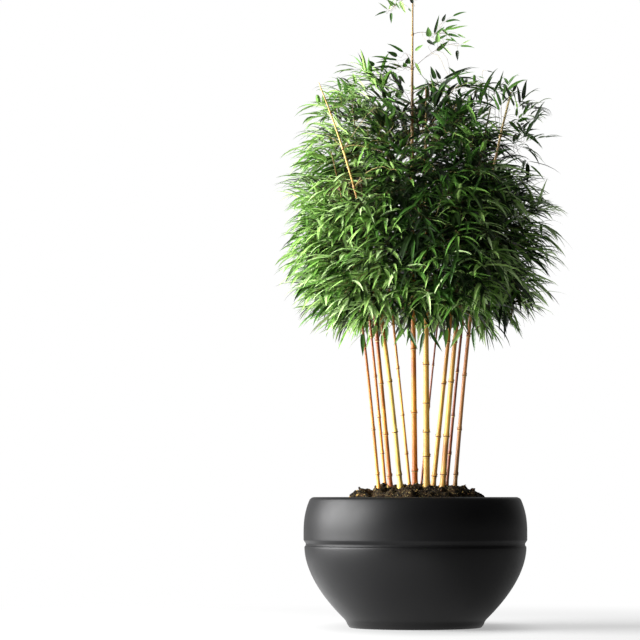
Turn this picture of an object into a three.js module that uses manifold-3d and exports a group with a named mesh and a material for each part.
// Potted bamboo: one clump of twelve canes with an evergreen crown, in a wide, low, matt black bowl.
//
// Millimetres, +Z up. The origin is the centre of the pot's flat underside. The front of the plant
// looks along -Y, with +X to its right. Every cane, every mass of foliage, the soil and the pot is a
// closed solid of its own.

import * as THREE from "three";
import { mergeVertices } from "three/addons/utils/BufferGeometryUtils.js";
import Module from "manifold-3d";

const wasm = await Module();
wasm.setup();

// Driving dimensions

const CLEARANCE = 0.4; // between a solid and the neighbour that it rests on or is cut by
const MERGE_DISTANCE = 1e-4;

const POT = {
  height: 465,
  footRadius: 235,
  footFlareRadius: 243,
  footFlareHeight: 10,
  creaseRadius: 250,
  creaseHeight: 26,
  bowlRadius: 397,
  bowlDepth: 448, // depth at which the bowl's curve would reach the axis
  bowlPower: 1.85,
  bowlRings: [52, 88, 130, 178, 232], // heights that the bowl's curve is drawn through
  grooveBottom: 288,
  grooveTop: 311,
  grooveRadius: 391,
  grooveLip: 5, // height of each sloping side of the groove
  bandRadius: 400,
  bandStraightTop: 340,
  bandDraw: 26, // how far the band has drawn in at the rim
  bandPower: 2.35,
  bandRings: [340, 385, 425],
  cornerHeight: 459,
  cornerRadius: 377,
  rimOuterRadius: 366,
  wall: 16,
  floor: 18,
  innerRings: [70, 150, 250, 370],
  sides: 30,
};

const SOIL = {
  wallClearance: 0.6, // wider than elsewhere, because the pot's wall slopes
  edgeHeight: 452, // where the soil meets the pot's wall
  moundHeight: 502, // mean height of the mound that the canes stand in
  moundRadius: 262,
  moundPower: 5,
  rings: [300, 252, 200, 135, 70], // radii that the mound's top is drawn through
  clod: 7, // height of the clods above and below the mean
  clodLength: 23,
  seatDepth: 9, // how deep a cane's foot sits among the clods
};

const CANE = {
  sides: 6,
  rings: 5,
  midHeight: 1083, // where the canes vanish into the foliage, and their second place is given
  flare: 1.35, // diameter at the ground over the diameter above the root flare
  flareHeight: 34,
  tipShare: 0.22, // diameter left at the tip
  taperPower: 1.4,
  fan: 1.4, // depth at the middle height over depth at the foot: the clump fans out as it does in width
};

// Places of each cane: its foot, where it enters the foliage and its tip.
const CANES = [
  { foot: [-131, -60], midX: -191, tip: [-302, -170, 1690], diameter: 12 },
  { foot: [-106, 30], midX: -160, tip: [-262, 115, 1800], diameter: 11.5 },
  { foot: [-88, -10], midX: -141, tip: [-228, -60, 1890], diameter: 17 },
  { foot: [-55, -90], midX: -121, tip: [-346, -250, 1925], diameter: 18.5 },
  { foot: [-17, 60], midX: -75, tip: [-150, 230, 1760], diameter: 11.5 },
  { foot: [0, 20], midX: -5, tip: [-4, 26, 2420], diameter: 20 },
  { foot: [23, 90], midX: 85, tip: [170, 300, 1640], diameter: 8.5 },
  { foot: [40, -40], midX: 38, tip: [38, -88, 1926], diameter: 23 },
  { foot: [64, 10], midX: 126, tip: [222, 120, 1900], diameter: 17 },
  { foot: [95, -50], midX: 151, tip: [262, -215, 1840], diameter: 20 },
  { foot: [114, 50], midX: 167, tip: [275, 215, 1720], diameter: 12 },
  { foot: [141, -6], midX: 196, tip: [341, -120, 1908], diameter: 15 },
];

// The crown is three rings of foliage masses round the canes, which leave its shaded core open: leaves
// grow where the light reaches. Sizes are half lengths: outward from the axis, round it and up. A mass's
// outer side droops, and its underside is tucked in towards the axis.
const CROWN_CENTRE_X = 14;
const HIGH_RING = {
  name: "foliage_high",
  count: 3,
  turn: 180, // direction of its first mass from +X, in degrees
  reach: 215,
  height: 1858,
  size: [212, 272, 152],
  droop: 44,
  tuck: 0,
  seed: 11,
};
const MIDDLE_RING = {
  name: "foliage_mid",
  count: 4,
  turn: 20,
  reach: 304,
  height: 1606,
  size: [194, 285, 212],
  droop: 30,
  tuck: 0,
  seed: 21,
};
const LOW_RING = {
  name: "foliage_low",
  count: 5,
  turn: 0,
  reach: 338,
  height: 1318,
  size: [210, 262, 298],
  droop: 22,
  tuck: 74,
  seed: 31,
};

// Sprays that stand clear of the crown: three on the tall cane, its tip and the right cane's tip.
const SPRAYS = [
  { name: "spray_right_cane", centre: [404, -126, 1806], size: [84, 84, 122], droop: 16 },
  { name: "spray_tall_low", centre: [-78, 8, 2026], size: [92, 78, 66], droop: 20 },
  { name: "spray_tall_right", centre: [104, 34, 2126], size: [128, 84, 84], droop: 14 },
  { name: "spray_tall_left", centre: [-76, 12, 2212], size: [84, 70, 50], droop: 18 },
  { name: "spray_tall_tip", centre: [6, 22, 2368], size: [96, 92, 78], droop: 20 },
];

const TUFTS = { count: 16, height: 0.27, sharpness: 8, hollow: 0.865 };
const MASS_DETAIL = 2;
const SPRAY_DETAIL = 1;
const SPRAY_SEED = 41;

// Materials

const matBlackResin = new THREE.MeshStandardMaterial({ color: 0x1b1b1c, roughness: 0.5, metalness: 0 });
const pottingSoil = new THREE.MeshStandardMaterial({ color: 0x2a2017, roughness: 1, metalness: 0 });
const goldenCane = new THREE.MeshStandardMaterial({ color: 0xc58d3e, roughness: 0.45, metalness: 0 });
const bambooLeaf = new THREE.MeshStandardMaterial({ color: 0x3f7030, roughness: 0.6, metalness: 0 });

// Solids and meshes

function mergedGeometry(geometry) {
  geometry.deleteAttribute("normal");
  geometry.deleteAttribute("uv");
  return mergeVertices(geometry, MERGE_DISTANCE);
}

function solidOf(geometry) {
  return new wasm.Manifold(new wasm.Mesh({
    numProp: 3,
    vertProperties: new Float32Array(geometry.attributes.position.array),
    triVerts: new Uint32Array(geometry.index.array),
  }));
}

// The triangles of a cut solid's largest body, so that no loose crumb is left beside it.
function largestBody(mesh) {
  const parent = Array.from({ length: mesh.vertProperties.length / 3 }, (_, vertex) => vertex);
  const rootOf = (vertex) => {
    let root = vertex;
    while (parent[root] !== root) {
      root = parent[root];
    }
    parent[vertex] = root;
    return root;
  };
  const triangles = [];
  for (let start = 0; start < mesh.triVerts.length; start += 3) {
    const corners = [...mesh.triVerts.slice(start, start + 3)];
    triangles.push(corners);
    parent[rootOf(corners[0])] = rootOf(corners[1]);
    parent[rootOf(corners[1])] = rootOf(corners[2]);
  }
  const bodies = new Map();
  for (const corners of triangles) {
    const root = rootOf(corners[0]);
    bodies.set(root, [...(bodies.get(root) ?? []), corners]);
  }
  const bySize = [...bodies.values()].sort((a, b) => b.length - a.length);
  return bySize[0].flat();
}

function geometryOf(solid) {
  const mesh = solid.getMesh();
  const geometry = new THREE.BufferGeometry();
  geometry.setAttribute("position", new THREE.BufferAttribute(new Float32Array(mesh.vertProperties), 3));
  geometry.setIndex(largestBody(mesh));
  return geometry;
}

function meshOf(name, geometry, material) {
  geometry.computeVertexNormals();
  const mesh = new THREE.Mesh(geometry, material);
  mesh.name = name;
  return mesh;
}

// A body turned about the Z axis from a profile of [radius, height] pairs.
function turned(profile, sides) {
  const points = profile.map(([radius, height]) => new THREE.Vector2(radius, height));
  const lathe = new THREE.LatheGeometry(points, sides);
  lathe.rotateX(Math.PI / 2);
  return mergedGeometry(lathe);
}

function moveVertices(geometry, move) {
  const positions = geometry.attributes.position;
  const point = new THREE.Vector3();
  for (let index = 0; index < positions.count; index += 1) {
    point.fromBufferAttribute(positions, index);
    move(point);
    positions.setXYZ(index, point.x, point.y, point.z);
  }
  return geometry;
}

// Pot

function bowlRadius(height) {
  const depth = (POT.grooveBottom - height) / POT.bowlDepth;
  return POT.bowlRadius * (1 - depth ** POT.bowlPower);
}

function bandRadius(height) {
  const rise = Math.max(0, (height - POT.bandStraightTop) / (POT.height - POT.bandStraightTop));
  return POT.bandRadius - POT.bandDraw * rise ** POT.bandPower;
}

function innerRadius(height) {
  const outer = height < POT.grooveBottom ? bowlRadius(height) : bandRadius(height);
  return outer - POT.wall;
}

const INNER_HEIGHTS = [POT.floor, ...POT.innerRings, SOIL.edgeHeight];

function potProfile() {
  const outer = [
    [0, 0],
    [POT.footRadius, 0],
    [POT.footFlareRadius, POT.footFlareHeight],
    [POT.creaseRadius, POT.creaseHeight],
  ];
  for (const height of POT.bowlRings) {
    outer.push([bowlRadius(height), height]);
  }
  outer.push(
    [bowlRadius(POT.grooveBottom), POT.grooveBottom],
    [POT.grooveRadius, POT.grooveBottom + POT.grooveLip],
    [POT.grooveRadius, POT.grooveTop - POT.grooveLip],
    [POT.bandRadius, POT.grooveTop],
  );
  for (const height of POT.bandRings) {
    outer.push([bandRadius(height), height]);
  }
  outer.push([POT.cornerRadius, POT.cornerHeight], [POT.rimOuterRadius, POT.height]);
  const rimInner = [innerRadius(POT.height), POT.height];
  const inner = INNER_HEIGHTS.map((height) => [innerRadius(height), height]).reverse();
  return [...outer, rimInner, ...inner, [0, POT.floor]];
}

const pot = meshOf("pot", turned(potProfile(), POT.sides), matBlackResin);

// Soil: the fill of the pot, with a mound of clods that the canes stand in

// Uneven ground: one wave of clods along each side of the mound, and a finer one across them.
function clods(x, y) {
  const [u, v] = [x / SOIL.clodLength, y / SOIL.clodLength];
  return (SOIL.clod / 2) * (Math.sin(u + 1) * Math.cos(v) + Math.sin(2 * (u + v)));
}

function soilHeight(x, y) {
  const share = Math.min(1, Math.hypot(x, y) / SOIL.moundRadius);
  const mound = (SOIL.moundHeight - SOIL.edgeHeight) * (1 - share ** SOIL.moundPower);
  return SOIL.edgeHeight + mound + clods(x, y);
}

function soilGeometry() {
  const wall = INNER_HEIGHTS.map((height) => [innerRadius(height) - SOIL.wallClearance, height]);
  wall[0][1] += CLEARANCE;
  const wallTop = wall[wall.length - 1][0];
  const top = SOIL.rings.map((radius) => [radius, SOIL.edgeHeight]);
  const profile = [[0, wall[0][1]], ...wall, ...top, [0, SOIL.edgeHeight]];
  return moveVertices(turned(profile, POT.sides), (point) => {
    const radius = Math.hypot(point.x, point.y);
    const onTop = point.z > SOIL.edgeHeight - 1 && radius < wallTop - 1;
    if (onTop) {
      point.z = soilHeight(point.x, point.y);
    }
  });
}

// Canes: each a slender taper with a root flare, cut flat at the ground

const footHeight = ({ foot }) => soilHeight(...foot) - SOIL.seatDepth;

// One coordinate of a cane's centre line: straight at first, and bowing out as the cube of the height.
function bowedPath(foot, middle, tip, cane) {
  const unit = CANE.midHeight - footHeight(cane);
  const full = (cane.tip[2] - footHeight(cane)) / unit;
  const lean = middle - foot;
  const bow = (tip - foot - lean * full) / (full ** 3 - full);
  return (height) => {
    const climb = (height - footHeight(cane)) / unit;
    return foot + (lean - bow) * climb + bow * climb ** 3;
  };
}

function caneCentre(cane) {
  const pathX = bowedPath(cane.foot[0], cane.midX, cane.tip[0], cane);
  const pathY = bowedPath(cane.foot[1], cane.foot[1] * CANE.fan, cane.tip[1], cane);
  return (height) => [pathX(height), pathY(height)];
}

function caneRadius(cane, height) {
  const climb = Math.max(0, (height - footHeight(cane)) / (cane.tip[2] - footHeight(cane)));
  return (cane.diameter / 2) * (1 - (1 - CANE.tipShare) * climb ** CANE.taperPower);
}

// A cane's solid, grown on every side by the clearance where it is the tool that cuts a neighbour.
function caneGeometry(cane, grow = 0) {
  const bottom = footHeight(cane);
  const flareTop = bottom + CANE.flareHeight;
  const tip = cane.tip[2];
  const profile = [
    [0, bottom - grow],
    [(CANE.flare * cane.diameter) / 2 + grow, bottom - grow],
    [caneRadius(cane, flareTop) + grow, flareTop],
  ];
  for (let ring = 1; ring < CANE.rings; ring += 1) {
    const height = flareTop + ((tip - flareTop) * ring) / CANE.rings;
    profile.push([caneRadius(cane, height) + grow, height]);
  }
  profile.push([caneRadius(cane, tip) + grow, tip + grow], [0, tip + grow]);
  const centre = caneCentre(cane);
  return moveVertices(turned(profile, CANE.sides), (point) => {
    const [x, y] = centre(point.z);
    point.x += x;
    point.y += y;
  });
}

const caneMeshes = CANES.map((cane, index) => {
  const name = `cane_${String(index + 1).padStart(2, "0")}`;
  return meshOf(name, caneGeometry(cane), goldenCane);
});

const caneTools = CANES.map((cane) => solidOf(caneGeometry(cane, CLEARANCE)));

const seatedSoil = caneTools.reduce((soil, tool) => soil.subtract(tool), solidOf(soilGeometry()));
const soil = meshOf("soil", geometryOf(seatedSoil), pottingSoil);

// Foliage: uneven closed masses, cut clear of each other and of the canes that run up through them

// The directions that one mass's tufts point in, the same on every run.
function tuftDirections(seed) {
  const random = THREE.MathUtils.seededRandom;
  random(seed);
  return Array.from({ length: TUFTS.count }, () => {
    const height = 2 * random() - 1;
    const turn = 2 * Math.PI * random();
    const level = Math.sqrt(1 - height * height);
    return new THREE.Vector3(level * Math.cos(turn), level * Math.sin(turn), height);
  });
}

// One mass: a ball pushed out into tufts, stretched to its size, tucked in below and drooping outside.
function massGeometry(mass, grow = 0) {
  const tufts = tuftDirections(mass.seed);
  const ball = mergedGeometry(new THREE.IcosahedronGeometry(1, mass.detail));
  const out = new THREE.Vector3(Math.cos(mass.azimuth), Math.sin(mass.azimuth), 0);
  const round = new THREE.Vector3(-out.y, out.x, 0);
  const direction = new THREE.Vector3();
  return moveVertices(ball, (point) => {
    direction.copy(point).normalize();
    const tuft = Math.max(...tufts.map((axis) => Math.max(0, direction.dot(axis)) ** TUFTS.sharpness));
    const swell = TUFTS.hollow + TUFTS.height * tuft;
    const [outward, sideways, upward] = mass.size.map((half) => half * swell + grow);
    const reach = direction.x * outward - mass.tuck * Math.max(0, -direction.z) ** 1.5;
    const droop = mass.droop * Math.max(0, direction.x) ** 2;
    point.copy(mass.centre);
    point.addScaledVector(out, reach);
    point.addScaledVector(round, direction.y * sideways);
    point.z += direction.z * upward - droop;
  });
}

function ringMasses(ring) {
  return Array.from({ length: ring.count }, (_, index) => {
    const azimuth = THREE.MathUtils.degToRad(ring.turn + (360 * index) / ring.count);
    const centre = new THREE.Vector3(
      CROWN_CENTRE_X + ring.reach * Math.cos(azimuth),
      ring.reach * Math.sin(azimuth),
      ring.height,
    );
    const name = `${ring.name}_${index + 1}`;
    return { ...ring, name, azimuth, centre, seed: ring.seed + index, detail: MASS_DETAIL };
  });
}

function sprayMass(spray, index) {
  const centre = new THREE.Vector3(...spray.centre);
  const azimuth = centre.x < 0 ? Math.PI : 0;
  return { ...spray, centre, azimuth, tuck: 0, seed: SPRAY_SEED + index, detail: SPRAY_DETAIL };
}

const masses = [...[HIGH_RING, MIDDLE_RING, LOW_RING].flatMap(ringMasses), ...SPRAYS.map(sprayMass)];

const foliageMeshes = masses.map((mass, index) => {
  let solid = solidOf(massGeometry(mass));
  for (const earlier of masses.slice(0, index)) {
    solid = solid.subtract(solidOf(massGeometry(earlier, 2 * CLEARANCE)));
  }
  for (const tool of caneTools) {
    solid = solid.subtract(tool);
  }
  return meshOf(mass.name, geometryOf(solid), bambooLeaf);
});

// The whole plant

const pottedBamboo = new THREE.Group();
pottedBamboo.add(pot, soil, ...caneMeshes, ...foliageMeshes);

export default pottedBamboo;
